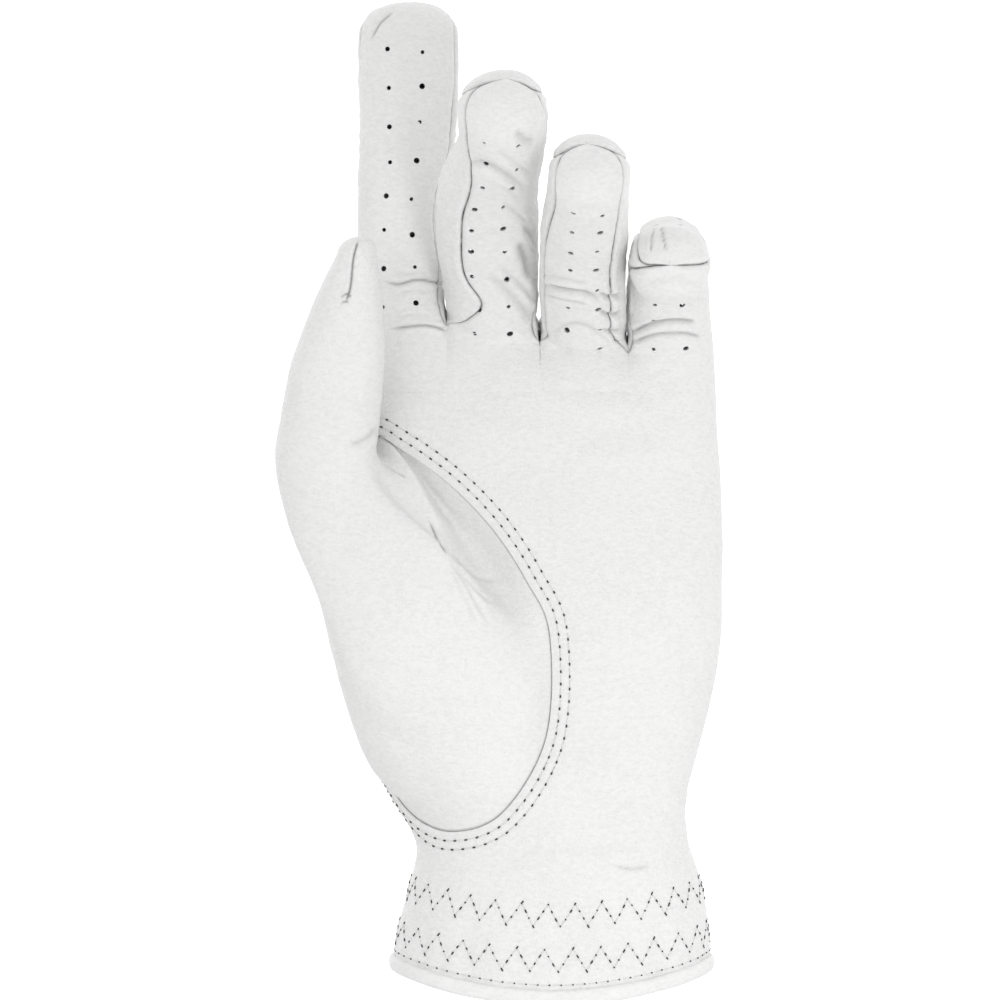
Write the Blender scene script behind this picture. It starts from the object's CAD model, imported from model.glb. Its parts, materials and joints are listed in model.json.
import itertools
import json
import math

import bpy
import numpy as np
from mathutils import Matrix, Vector
from mathutils.kdtree import KDTree


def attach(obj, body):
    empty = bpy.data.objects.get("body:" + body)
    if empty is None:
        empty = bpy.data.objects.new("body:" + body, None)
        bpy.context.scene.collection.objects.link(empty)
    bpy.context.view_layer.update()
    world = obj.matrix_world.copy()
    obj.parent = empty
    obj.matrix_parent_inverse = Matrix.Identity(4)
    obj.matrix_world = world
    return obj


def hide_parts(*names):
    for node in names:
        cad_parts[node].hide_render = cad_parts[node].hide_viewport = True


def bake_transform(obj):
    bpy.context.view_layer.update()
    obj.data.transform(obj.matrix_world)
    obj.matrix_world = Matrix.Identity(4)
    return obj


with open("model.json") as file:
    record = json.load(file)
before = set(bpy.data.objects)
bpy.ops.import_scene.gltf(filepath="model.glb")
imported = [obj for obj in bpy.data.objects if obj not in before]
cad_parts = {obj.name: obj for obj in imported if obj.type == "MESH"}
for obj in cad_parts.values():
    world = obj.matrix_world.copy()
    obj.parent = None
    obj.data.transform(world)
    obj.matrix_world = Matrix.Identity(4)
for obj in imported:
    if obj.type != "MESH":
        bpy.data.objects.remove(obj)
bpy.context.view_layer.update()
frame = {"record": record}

MM = 0.001
JOINTS = {j["name"]: j for j in frame["record"]["behaviour"]["joints"]}

# ---------------------------------------------------------------- sizes in mm

LEATHER = 0.7         # thickness
FINE = 0.36           # grid step on the fingers
CUFF_STEP = 0.42      # and on the palm's cuff, the rest of the palm and the back
PALM_STEP = 0.5
BACK_STEP = 0.6
SPLIT_Z = 136.0       # above this height the palm and the back are part of the finger grids
PALM_SPLIT_Z = 46.0   # the palm's grid is finer below this height
SLIT_TOP = 50.0       # height of the end of the slit in the back
SLIT_HALF = (6.0, 0.4)  # half width of the wrist slit at the hem and at its end
WRIST_HALF = 34.0     # half width of the wrist, which turns the slit's half width into an angle
SHEET_START = 1.2     # the leather starts this far above the hem, inside the binding
SEAM_DEPTH = 0.6      # how far the edges roll inwards at a seam
SEAM_DARK = 0.2       # half width of the dark line in a seam

# Hand outline by height: thumb side, little-finger side, palm depth, back depth
LEFT = [(0, -36.2), (12, -35.7), (24, -32.8), (34, -31), (44, -36.2), (54, -41.4), (68, -46.2),
        (82, -47.6), (100, -47.8), (116, -46.4), (130, -44.8), (150, -44.5)]
RIGHT = [(0, 35.6), (12, 35.6), (24, 34.2), (36, 30.6), (46, 30.4), (55, 32.8), (67, 35.8),
         (80, 37.9), (98, 38.5), (116, 37.9), (130, 36.9), (150, 36.3)]
FRONT = [(0, 22), (24, 21), (36, 20), (60, 18), (90, 16), (120, 13), (150, 11)]
BACK = [(0, 24), (20, 23.4), (46, 22.4), (60, 19), (90, 14), (120, 13), (150, 12)]
SQUARE = 0.86         # power of the sine and cosine; below 1 it squares the oval section
HEM_RISE = 6.0        # how much higher the hem lies at the sides than in the middle

# Dividing lines between the fingers, across the hand, by distance from the root
EDGES = [
    [(0, -44.5), (40, -44.2), (75, -43.8)],
    [(0, -23.9), (14, -24.6), (28, -25.6), (40, -22.6), (50, -21.6), (80, -21.6)],
    [(0, -3.0), (30, -3.3), (46, -3.1), (60, -2.0), (80, -1.9)],
    [(0, 16.6), (30, 16.2), (80, 16.0)],
    [(0, 36.4), (20, 34.8), (60, 33.8)],
]
FINGER_GAP = 0.3      # between neighbouring fingers
TIP = 9.0             # height of the round end of a finger
MID_BEND_END = 8.5    # the bend at a middle joint ends this far past it
HOLE = 0.56           # radius of a vent hole
HOLE_PITCH = 8.1      # from one pair of vent holes to the next
HOLE_SPREAD = 18      # degrees from the middle of a panel to its two columns of holes
SECTION = 0.92        # power of the sine and cosine in a finger's section
KNUCKLE_RISE = 5.5    # how much the back of a sharply bent middle joint stands out
FINGER_HALF = 9.6     # half width that the grid's columns are counted for
TABLE_TOP = 150.0     # height of the last rows of the outline tables
CROTCH_Z = [None, 152.0, 150.0, 145.6, None]  # heights of the crotches on both sides of each finger
PANEL_SIDES = ((1, "right_fourchette"), (-1, "left_fourchette"))

# Edge of the thumb opening as (angle, height), once round from the palm side upwards
LOOP = np.array([
    (273.5, 82), (269, 94), (260.5, 105.5), (246.5, 115.5), (228, 122.8), (206, 127), (187, 121),
    (178, 104), (177, 82), (179, 65), (188, 50.5), (202.5, 41.3), (228, 37.9), (257, 42.3),
    (273, 59)], float)
THUMB_ROOT = np.array([-50.9, -14.0, 124.3])
THUMB_TIP = np.array([-43.6, -29.6, 166.0])
THUMB_ROOT_HALF = (11.4, 12.0)
THUMB_TIP_HALF = (4.0, 7.5)
THUMB_CAP = 3.4       # height of the thumb's round end
UNDERLAP = 4.5        # how far the thumb's leather runs under the opening's edge
EDGE_DROP = 0.78      # how far it lies below the palm's face at the edge and at its own end
FLAP_DROP = 0.95
UNDER_ROWS = 9        # rows of the thumb's grid on that strip
THUMB_COLUMNS = 344
THUMB_TURN = 45       # how far the thumb's angles run ahead of its columns

# Distances of the two stitch rows outside the opening's edge, and their pitch and stitch length
LOOP_ROWS = (1.9, 3.9)
LOOP_PITCH = 2.75
LOOP_STITCH = 1.9

# Zigzag rows round the cuff: heights of their lower corners, their height and their corner pitch
ZIG_ROWS = (7.6, 17.5)
ZIG_HEIGHT = 4.9
ZIG_STEP = 3.1
ZIG_HEM = 0.8         # share of the hem's rise that the zigzag and the elastic follow
CUFF_ARC = (164.0, 388.0)  # angles between which the zigzag runs
ELASTIC_WIDTH = 6.0

# Plain stitching at the hem and on the closure
HEM_STITCH_RISE = 4.6
PLAIN_PITCH = 2.6
PLAIN_STITCH = 1.8
PLAIN_PIT = (0.02, 0.2, 0.36)  # places along a needle hole, from the stitch's end

# Closure tab and its patches: each strip runs from its x towards the thumb side
TAB_Z = 33.0          # height of the strips' middle line
TAB_HEIGHT = 27.0
TAB_X = 14.0          # the tab's hinge line
TAB_LENGTH = 41.0
TAB_RISE = 3.5
TAB_END_R = TAB_HEIGHT / 2 - 0.5
PATCH_X = -8.0
PATCH_LENGTH = 17.0
PATCH_END_R = 8.0

# Doubled leather that the tab is sewn to
ANCHOR_X = TAB_X + 15
ANCHOR_LENGTH = 14.8


class Finger:
    """Sizes of one finger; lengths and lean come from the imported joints."""

    def __init__(self, place, name, upper, depth, bend, pole, rounding, sides,
                 touch=0.0, swing=0.0, bulge=0.0):
        knuckle = np.array(JOINTS[name + "_knuckle"]["pos_m"]) / MM
        mid = np.array(JOINTS[name + "_mid"]["pos_m"]) / MM
        self.place, self.name, self.upper, self.depth = place, name, upper, depth
        self.root = knuckle[2]
        self.lower = float(np.linalg.norm((mid - knuckle)[1:]))
        self.lean = math.atan2(knuckle[1] - mid[1], mid[2] - knuckle[2])
        self.bend = math.radians(bend)
        self.pole, self.sides = pole, sides
        self.touch, self.swing, self.bulge = touch, swing, bulge
        self.round_root, self.round_mid = rounding
        self.top = self.lower + upper

    def seam(self, side, end):
        """Angle of one edge of a panel at the root."""
        return self.sides[side][0][end]


# upper is the length past the middle joint, bend the rest bend there in degrees, pole the place in
# the section where the tip closes, rounding the half lengths of the two bends; touch and bulge push
# the thumb side out, and swing turns the seam there. The sides give the angles of each panel's edges
# at the root, halfway and at the tip: 0 is the little-finger side, 90 the back, 180 the thumb side,
# 270 the palm.
FINGERS = [
    Finger(0, "index", upper=27.4, depth=9.2, bend=1, pole=(0.0, 0.35), rounding=(7.0, 9.0), sides={
        "front": ((150, 322), (150, 334), (196, 340)),
        "right_fourchette": ((322, 402), (334, 402), (340, 380)),
        "back": ((402, 510), (402, 510), (380, 556))}),
    Finger(1, "middle", upper=32.0, depth=9.2, bend=21, pole=(0.1, 0.3), rounding=(7.5, 10.0), sides={
        "front": ((216, 322), (241, 350), (216, 350)),
        "right_fourchette": ((322, 406), (350, 406), (350, 385)),
        "back": ((406, 500), (406, 500), (385, 520)),
        "left_fourchette": ((500, 576), (500, 601), (520, 576))}, touch=0.3, swing=19.0, bulge=3.3),
    Finger(2, "ring", upper=28.0, depth=9.0, bend=8, pole=(-0.05, 0.35), rounding=(8.0, 9.0), sides={
        "front": ((216, 322), (206, 308), (213, 318)),
        "right_fourchette": ((322, 402), (308, 402), (318, 380)),
        "back": ((402, 498), (402, 498), (380, 515)),
        "left_fourchette": ((498, 576), (498, 566), (515, 573))}, touch=0.25),
    Finger(3, "little", upper=22.0, depth=8.5, bend=66, pole=(0.0, 0.1), rounding=(7.5, 11.0), sides={
        "front": ((216, 400), (192, 400), (182, 366)),
        "back": ((400, 498), (400, 498), (366, 505)),
        "left_fourchette": ((498, 576), (498, 552), (505, 542))}),
]

# ---------------------------------------------------------------- general functions


def smooth(a, b, x):
    """0 up to a, 1 from b, and a smooth rise between them."""
    t = np.clip((np.asarray(x, float) - a) / (b - a), 0, 1)
    return t * t * (3 - 2 * t)


def mix(a, b, k):
    """Value at a share k of the way from a to b."""
    return a + (b - a) * k


def power(v, e):
    """Power of a number's size, with its sign kept."""
    return np.sign(v) * np.abs(v) ** e


def table(points, x):
    """Value at x on a smooth curve through the points of a table."""
    xs, ys = np.array(points, float).T
    slope = np.gradient(ys, xs)
    i = np.clip(np.searchsorted(xs, x) - 1, 0, len(xs) - 2)
    h = xs[i + 1] - xs[i]
    t = np.clip((x - xs[i]) / h, 0, 1)
    return ((2 * t**3 - 3 * t**2 + 1) * ys[i] + (t**3 - 2 * t**2 + t) * h * slope[i]
            + (-2 * t**3 + 3 * t**2) * ys[i + 1] + (t**3 - t**2) * h * slope[i + 1])


def curve_between(a, b, c, d, f):
    """Point at a share f of the way from b to c on the smooth curve through a, b, c and d."""
    return b + f / 2 * ((c - a) + f * ((2 * a - 5 * b + 4 * c - d) + f * (3 * b - a - 3 * c + d)))


def ring_curve(points, u):
    """Point at u on the closed smooth curve through the points."""
    n = len(points)
    u = np.asarray(u, float)
    i = np.floor(u).astype(int)
    return curve_between(*(points[(i + k) % n] for k in (-1, 0, 1, 2)), (u - i)[..., None])


def open_curve(points, count):
    """Evenly counted points on the open smooth curve through the points."""
    p = np.array(points, float)
    p = np.vstack([2 * p[0] - p[1], p, 2 * p[-1] - p[-2]])
    u = np.linspace(0, len(points) - 1 - 1e-9, count)
    i = np.floor(u).astype(int)
    return curve_between(*(p[i + k] for k in range(4)), (u - i)[:, None])


def run_of(line):
    """Distance along a line of points at each of them."""
    return np.concatenate([[0], np.cumsum(np.linalg.norm(np.diff(line, axis=0), axis=1))])


def dip(d, width):
    """Rounded groove or ridge of height 1 at distance 0."""
    return np.exp(-(d / width) ** 2)


def unit(v):
    """Vectors of length 1 in the same directions."""
    return v / np.linalg.norm(v, axis=-1, keepdims=True)


def noise(p, scale, seed):
    """Smooth noise from -1 to 1 at the points p, with features of about the given size in mm."""
    q = p / scale + seed * 17.31
    i = np.floor(q).astype(np.int64)
    f = q - i
    f = f * f * f * (f * (f * 6 - 15) + 10)
    total = np.zeros(p.shape[:-1])
    for corner in itertools.product((0, 1), repeat=3):
        x, y, z = (i[..., axis] + corner[axis] for axis in range(3))
        h = (x * 374761393 + y * 668265263 + z * 1274126177 + seed * 40503) & 0xFFFFFFFF
        h = ((h ^ (h >> 13)) * 1103515245) & 0xFFFFFFFF
        h = ((h ^ (h >> 16)) & 0xFFFF) / 32767.5 - 1
        total += h * np.prod(np.where(corner, f, 1 - f), axis=-1)
    return total


def normals_of(p, wrap=False):
    """Outward normals of a grid of points, rows upwards and columns anticlockwise from above."""
    if wrap:
        across = np.roll(p, -1, 1) - np.roll(p, 1, 1)
    else:
        across = np.gradient(p, axis=1)
    up = np.gradient(p, axis=0)
    n = np.cross(across, up)
    return n / np.maximum(np.linalg.norm(n, axis=2, keepdims=True), 1e-9)


def distance_to(p, line):
    """Distance of each point of a grid from a dense line of points, and its nearest one's number."""
    tree = KDTree(len(line))
    for k, q in enumerate(line):
        tree.insert(Vector(q), k)
    tree.balance()
    flat = p.reshape(-1, 3)
    found = [tree.find(Vector(q))[1:] for q in flat]
    near = np.array([k for k, _ in found])
    dist = np.array([d for _, d in found])
    return dist.reshape(p.shape[:-1]), near.reshape(p.shape[:-1])


class Relief:
    """Raises and lowers a grid of points along its normals; a single row of points has none."""

    def __init__(self, p, wrap=False):
        self.p = p
        self.n = normals_of(p, wrap) if len(p) > 1 else None
        self.height = np.zeros(p.shape[:-1])
        self.seam = np.zeros(p.shape[:-1])

    def line(self, points, width, depth, ridge=0.0, dark=0.0, fade=0.25):
        """A fold drawn on the side that faces the palm, through points (x, z), with soft ends."""
        line = open_curve([(x, 0, z) for x, z in points], 110)
        reach = width * 5 + 1.0
        flat = self.p * (1, 0, 1)
        inside = np.all((flat > line.min(0) - reach) & (flat < line.max(0) + reach), axis=-1)
        inside &= self.n[..., 1] < -0.05
        if not inside.any():
            return
        d, near = distance_to(flat[inside], line)
        k = near / (len(line) - 1)
        ends = np.minimum(smooth(0, fade, k), smooth(0, fade, 1 - k)) if fade else 1.0
        self.height[inside] += ends * (ridge * dip(d - width * 2, width * 1.2) - depth * dip(d, width))
        self.seam[inside] = np.maximum(self.seam[inside], dark * ends * dip(d, width * 0.6))

    def wrinkles(self, place, stretch, size, height, seed):
        """Fine wrinkles, drawn out along the axes with a small stretch, where place is above 0."""
        self.height += height * place * noise(self.p * stretch, size, seed)

    def soft(self, amounts):
        """Soft unevenness, as (size, height, seed) for each layer."""
        for size, height, seed in amounts:
            self.height += height * noise(self.p, size, seed)
        return self

    def done(self):
        """The raised points."""
        return self.p + self.n * self.height[..., None]


# ---------------------------------------------------------------- mesh builders


def new_mesh(name, verts, quads, sharp=None, seam=None):
    """Mesh object from points in mm and four-cornered faces; sharp lists edges kept crisp."""
    used = np.zeros(len(verts), bool)
    used[quads.ravel()] = True
    number = np.cumsum(used) - 1
    verts, quads = verts[used], number[quads]
    mesh = bpy.data.meshes.new(name)
    mesh.vertices.add(len(verts))
    mesh.vertices.foreach_set("co", (verts * MM).astype(np.float32).ravel())
    mesh.loops.add(quads.size)
    mesh.loops.foreach_set("vertex_index", quads.ravel().astype(np.int32))
    mesh.polygons.add(len(quads))
    mesh.polygons.foreach_set("loop_start", np.arange(0, quads.size, 4, dtype=np.int32))
    mesh.update(calc_edges=True)
    mesh.validate()
    mesh.polygons.foreach_set("use_smooth", np.ones(len(mesh.polygons), bool))
    if sharp is not None and len(sharp):
        sharp = number[sharp]
        keys = set((np.minimum(sharp[:, 0], sharp[:, 1]).astype(np.int64) * len(verts)
                    + np.maximum(sharp[:, 0], sharp[:, 1])).tolist())
        ends = np.zeros(len(mesh.edges) * 2, np.int32)
        mesh.edges.foreach_get("vertices", ends)
        ends = ends.reshape(-1, 2).astype(np.int64)
        key = ends.min(1) * len(verts) + ends.max(1)
        flags = np.isin(key, np.fromiter(keys, np.int64))
        mesh.edges.foreach_set("use_edge_sharp", flags)
    rest = mesh.attributes.new("rest", "FLOAT_VECTOR", "POINT")
    rest.data.foreach_set("vector", (verts * MM).astype(np.float32).ravel())
    dark = mesh.attributes.new("seam", "FLOAT", "POINT")
    values = np.zeros(len(verts)) if seam is None else seam[used]
    dark.data.foreach_set("value", values.astype(np.float32))
    piece = bpy.data.objects.new(name, mesh)
    bpy.context.scene.collection.objects.link(piece)
    return piece


def grid_faces(rows, cols, closed_rows=False, closed_cols=False):
    """Four-cornered faces of a grid of points, anticlockwise from outside."""
    i, j = np.indices((rows - 1 + closed_rows, cols - 1 + closed_cols)).reshape(2, -1)
    i2, j2 = (i + 1) % rows, (j + 1) % cols
    return np.stack([i * cols + j, i * cols + j2, i2 * cols + j2, i2 * cols + j], 1)


def sheet_mesh(name, p, keep=None, seam=None, thick=LEATHER, normals=None, pits=None):
    """Leather of real thickness from a grid of points on its outer face; pits darkens the inside."""
    rows, cols = p.shape[:2]
    n = normals_of(p) if normals is None else normals
    inner = p - n * np.broadcast_to(thick, p.shape[:2])[..., None]
    quads = grid_faces(rows, cols)
    if keep is not None:
        quads = quads[keep.ravel()]
    total = rows * cols
    edges = np.concatenate([quads[:, [k, (k + 1) % 4]] for k in range(4)])
    key = edges[:, 0] * total + edges[:, 1]
    back = edges[:, 1] * total + edges[:, 0]
    rim = edges[~np.isin(key, back)]
    rim_quads = np.stack([rim[:, 1], rim[:, 0], rim[:, 0] + total, rim[:, 1] + total], 1)
    faces = np.concatenate([quads, quads[:, ::-1] + total, rim_quads])
    sharp = np.concatenate([rim, rim + total])
    both = np.concatenate([p.reshape(-1, 3), inner.reshape(-1, 3)])
    seam = np.zeros(p.shape[:2]) if seam is None else seam
    pits = np.zeros(p.shape[:2]) if pits is None else pits
    dark = np.concatenate([seam.ravel(), pits.ravel()])
    return new_mesh(name, both, faces, sharp, dark)


def punch(p, keep, pits, centre, radius):
    """Cuts a round hole in a grid: unmarks its faces in keep and brings its rim onto the circle."""
    d = np.linalg.norm(p - centre, axis=-1)
    inside = d < radius + 0.14
    keep &= ~(inside[:-1, :-1] & inside[:-1, 1:] & inside[1:, :-1] & inside[1:, 1:])
    away = (p[inside] - centre) / np.maximum(d[inside], 1e-6)[:, None]
    p[inside] = centre + away * radius
    pits[d < radius + 0.7] = 1


def tube(path, radius, sides=6):
    """Points and faces of a round bar along a path, closed at both ends."""
    path = np.asarray(path, float)
    tangent = np.gradient(path, axis=0)
    tangent /= np.linalg.norm(tangent, axis=1, keepdims=True)
    ref = np.where(np.abs(tangent[:, 2:]) > 0.9, [[1.0, 0, 0]], [[0, 0, 1.0]])
    side = np.cross(tangent, ref)
    side /= np.linalg.norm(side, axis=1, keepdims=True)
    other = np.cross(tangent, side)
    a = np.linspace(0, 2 * np.pi, sides, endpoint=False)
    radius = np.broadcast_to(radius, len(path))
    rings = path[:, None] + radius[:, None, None] * (
        np.cos(a)[None, :, None] * side[:, None] + np.sin(a)[None, :, None] * other[:, None])
    quads = grid_faces(len(path), sides, closed_cols=True)[:, [0, 3, 2, 1]]
    caps = []
    for row, flip in ((0, False), (len(path) - 1, True)):
        base = row * sides
        for k in range(1, sides - 1, 2):
            face = [base, base + k, base + k + 1, base + (k + 2) % sides]
            caps.append(face[::-1] if flip else face)
    return rings.reshape(-1, 3), np.concatenate([quads, np.array(caps)])


def bars_mesh(name, paths, radius):
    """One object of many separate round bars, such as a row of stitches."""
    verts, faces, count = [], [], 0
    for path in paths:
        points, quads = tube(path, radius)
        verts.append(points)
        faces.append(quads + count)
        count += len(points)
    return new_mesh(name, np.concatenate(verts), np.concatenate(faces))


# ---------------------------------------------------------------- hand surface


def hand_point(t, z, depth=0.0):
    """Point of the hand at an angle in degrees and a height, moved inwards by depth."""
    t, z = np.broadcast_arrays(np.radians(t), np.asarray(z, float))
    l, r = table(LEFT, z) + depth, table(RIGHT, z) - depth
    c, s = power(np.cos(t), SQUARE), power(np.sin(t), SQUARE)
    h = np.where(s < 0, table(FRONT, z), table(BACK, z)) - depth
    return np.stack([(l + r) / 2 + (r - l) / 2 * c, h * s, z], -1)


def hand_angle(x, z, front):
    """Angle of the hand's point at a place x across, on the palm or on the back."""
    l, r = table(LEFT, z), table(RIGHT, z)
    c = np.clip((x - (l + r) / 2) / ((r - l) / 2), -1, 1)
    a = np.degrees(np.arccos(power(c, 1 / SQUARE)))
    return np.where(front, 360 - a, a)


def angle_of(p):
    """Angle of the hand's surface nearest to points, from their direction at their own height."""
    z = p[..., 2]
    l, r = table(LEFT, z), table(RIGHT, z)
    c = (p[..., 0] - (l + r) / 2) / ((r - l) / 2)
    h = np.where(p[..., 1] < 0, table(FRONT, z), table(BACK, z))
    return np.degrees(np.arctan2(power(p[..., 1] / h, 1 / SQUARE), power(c, 1 / SQUARE))) % 360


def hem_z(t):
    """Height of the hem at an angle."""
    return HEM_RISE * np.abs(np.cos(np.radians(t))) ** 1.6


def hand_normal(t, z):
    """Outward direction of the hand's surface at an angle and a height."""
    across = hand_point(np.asarray(t) + 0.4, z) - hand_point(np.asarray(t) - 0.4, z)
    up = hand_point(t, np.asarray(z) + 0.4) - hand_point(t, np.asarray(z) - 0.4)
    return unit(np.cross(across, up))


# ---------------------------------------------------------------- finger surface


def arc_step(y, z, angle, length, turn, v):
    """One rounded bend of a spine from a place and an angle: its points at distances v past there."""
    k = np.clip(v / length, 0, 1)
    if abs(turn) < 1e-4:
        return y, z, angle + 0 * k
    radius = length / 2 / math.tan(turn / 2)
    a = k * turn
    along, off = radius * np.sin(a), radius * (1 - np.cos(a))
    return (y - along * math.sin(angle) - off * math.cos(angle),
            z + along * math.cos(angle) - off * math.sin(angle), angle + a)


def spine(f, v):
    """Place and lean of a finger's middle line at distances v from its root."""
    v = np.asarray(v, float)
    r1, r2 = f.round_root, f.round_mid
    y = np.zeros_like(v)
    z = f.root + np.minimum(v, -r1)
    lean = np.zeros_like(v)
    y1, z1, a1 = arc_step(0.0, f.root - r1, 0.0, 2 * r1, f.lean, v + r1)
    y, z, lean = (np.where(v > -r1, new, old) for new, old in ((y1, y), (z1, z), (a1, lean)))
    past = np.clip(v - r1, 0, None)
    y, z = y - past * math.sin(f.lean), z + past * math.cos(f.lean)
    corner = f.lower - r2
    cy = -corner * math.sin(f.lean)
    cz = f.root + corner * math.cos(f.lean)
    y2, z2, a2 = arc_step(cy, cz, f.lean, 2 * r2, f.bend, v - corner)
    y, z, lean = (np.where(v > corner, new, old) for new, old in ((y2, y), (z2, z), (a2, lean)))
    end = np.clip(v - f.lower - r2, 0, None)
    full = f.lean + f.bend
    return y - end * math.sin(full), z + end * math.cos(full), lean


def width_of(f, v):
    """Middle and half width of a finger, across the hand, at distances v from its root."""
    left = table(EDGES[f.place], np.clip(v, 0, 80)) + FINGER_GAP / 2
    right = table(EDGES[f.place + 1], np.clip(v, 0, 80)) - FINGER_GAP / 2
    left = left - f.bulge * dip(v - f.lower - 4, 10)
    left = left - f.touch * smooth(5, 24, v) * (1 - smooth(f.lower + 6, f.lower + 20, v))
    return (left + right) / 2, (right - left) / 2


def finger_shape(f, v):
    """Share of the full width and depth at v: narrower between the joints, as leather hangs."""
    return (1 - 0.05 * dip(v - f.lower * 0.5, 9)) * (1 + 0.03 * dip(v - f.top, 9))


def bare_finger(f, az, v):
    """Point of the finger's tube and round tip at an angle, with no joining to the hand."""
    az, v = np.broadcast_arrays(np.asarray(az, float), np.asarray(v, float))
    s = np.minimum(v, f.top)
    el = np.clip((v - f.top) / TIP, 0, math.pi / 2)
    cx, hx = width_of(f, s)
    a = np.radians(az)
    shrink = np.cos(el)
    wide, flat = shrink ** 0.8, shrink ** 2.0
    across = wide * power(np.cos(a), SECTION) + (1 - wide) * f.pole[0]
    deep = flat * power(np.sin(a), SECTION) + (1 - flat) * f.pole[1]
    r = np.clip((np.abs(across) ** 2.17 + np.abs(deep) ** 2.17) ** 0.46, 0, 1)
    rise = np.where(el > 0, TIP * (1 - r ** 2.2) ** (1 / 2.2), 0)
    knuckle = KNUCKLE_RISE * math.sin(f.bend / 2) * dip(v - f.lower, 8.5)
    d = (f.depth * finger_shape(f, s) + np.where(deep > 0, knuckle, 0)) * deep
    x = cx + hx * across
    y, z, lean = spine(f, s)
    return np.stack([x, y + d * np.cos(lean) - rise * np.sin(lean),
                     z + d * np.sin(lean) + rise * np.cos(lean)], -1)


def slab_edge(f, side, front, v):
    """Point of the hand's slab where a finger's side meets the palm or the back."""
    z = f.root + v
    x = EDGES[f.place + (side > 0)][0][1]
    return hand_point(hand_angle(x, np.clip(z, 0, TABLE_TOP), front), z)


def joined_finger(f, az, v):
    """Point of the finger, running smoothly into the hand below its root."""
    az, v = np.broadcast_arrays(np.asarray(az, float) % 360, np.asarray(v, float))
    shape = az.shape
    az, v = az.ravel(), v.ravel()
    tube_point = bare_finger(f, az, v)
    front = az > 180
    first, last = f.place == 0, f.place == 3
    cos = {(side, end): math.cos(math.radians(f.seam(side, end)))
           for side in ("front", "back") for end in (0, 1)}
    cl = np.where(front, -1 if first else cos["front", 0], -1 if first else cos["back", 1])
    cr = np.where(front, 1 if last else cos["front", 1], 1 if last else cos["back", 0])
    q = np.clip((np.cos(np.radians(az)) - cl) / (cr - cl), 0, 1)
    z = np.clip(f.root + v, 0, TABLE_TOP)
    x0 = table(LEFT, z) if first else EDGES[f.place][0][1]
    x1 = table(RIGHT, z) if last else EDGES[f.place + 1][0][1]
    base = hand_point(hand_angle(x0 + q * (x1 - x0), z, front), f.root + v)
    for side, name in PANEL_SIDES:
        if name not in f.sides:
            continue
        a, b = f.sides[name][0]
        share = ((az - a) % 360) / (b - a)
        inside = share <= 1
        s = share[inside][:, None]
        first_edge = slab_edge(f, side, side > 0, v[inside])
        last_edge = slab_edge(f, side, side < 0, v[inside])
        base[inside] = first_edge * (1 - s) + last_edge * s
    m = smooth(SPLIT_Z - f.root, 9, v)[..., None]
    return (base * (1 - m) + tube_point * m).reshape(shape + (3,))


def crotch_shift(f, side, front, z):
    """How far a finger's edge moves to meet its neighbour's below and just above the crotch."""
    other = FINGERS[f.place + side]

    def edge(finger, to_right):
        """Angle of a finger's edge on one side."""
        panel = "front" if front else "back"
        return finger.seam(panel, int(to_right == front))

    a = joined_finger(f, edge(f, side > 0), z - f.root)
    b = joined_finger(other, edge(other, side < 0), z - other.root)
    crotch = CROTCH_Z[f.place + (side > 0)]
    fade = 1 - smooth(crotch, crotch + 7, z)
    return (b - a) / 2 * fade[..., None]


def pole_angles(columns):
    """Columns and angles at the pole: the seams arch over the tip instead of meeting in a peak."""
    turns = {"front": 360, "right_fourchette": 364, "back": 536, "left_fourchette": 544}
    if "right_fourchette" not in columns:
        turns["front"] = 364
    if "left_fourchette" not in columns:
        turns["back"] = 544
    ends = [(0, 184.0)] + [(columns[side][1], float(turns[side])) for side in columns]
    return zip(*ends)


def finger_angles(f, rows, end):
    """Angle of every column at every row, each panel's columns, and the columns' root angles."""
    around = 2 * math.pi * FINGER_HALF
    stages, columns, cols = [[], [], []], {}, 0
    for side, spans in f.sides.items():
        count = max(6, round((spans[1][1] - spans[1][0]) / 360 * around / FINE))
        columns[side] = (cols, cols + count)
        cols += count
        for stage, (a, b) in zip(stages, spans):
            stage += list(np.linspace(a, b, count, endpoint=False))
    root, mid, tip = (np.array(stage) for stage in stages)
    over = np.interp(np.arange(cols), *pole_angles(columns))
    opened = smooth(3, 15, rows)[:, None]
    closing = smooth(f.lower + 4, f.top + 3, rows)[:, None]
    arching = smooth(f.top, end - 4, rows)[:, None]
    az = mix(mix(mix(root, mid, opened), tip, closing), over, arching)
    if f.swing:
        drift = f.swing * dip(rows - 15, 5)[:, None]
        for side, first, last in (("front", 1, 0), ("left_fourchette", 0, 1)):
            a, b = columns[side]
            az[:, a:b] += drift * np.linspace(first, last, b - a)
    return az, columns, root


def close_crotch(f, side, p, z, gap, after, root):
    """Brings a finger's panels onto their neighbour's at a crotch; returns the crotch's row."""
    crotch = CROTCH_Z[f.place + (side > 0)]
    shifts = {front: crotch_shift(f, side, front, z) for front in (True, False)}
    panel = np.ones(p.shape[1], bool)
    panel[gap] = False
    x_of, is_front = np.cos(np.radians(root)), (root % 360) > 180
    for front in (True, False):
        angle = f.seam("front" if front else "back", int((side > 0) == front))
        away = np.abs(x_of - math.cos(math.radians(angle))) * 10
        near = (1 - smooth(0, 7, away)) * panel * (is_front == front)
        p += shifts[front][:, None, :] * near[None, :, None]
    share = (np.arange(len(gap)) / len(gap))[:, None]
    first, last = shifts[side > 0], shifts[side < 0]
    p[:, gap] += first[:, None, :] * (1 - share) + last[:, None, :] * share
    k = int(np.argmin(np.abs(z - crotch)))
    a, b = p[k, gap[0]], p[k, after]
    fade = 1 - smooth(crotch, crotch + 8, z)
    p[:, gap] += (a + (b - a) * share - p[k, gap])[None] * fade[:, None, None]
    return k


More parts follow.
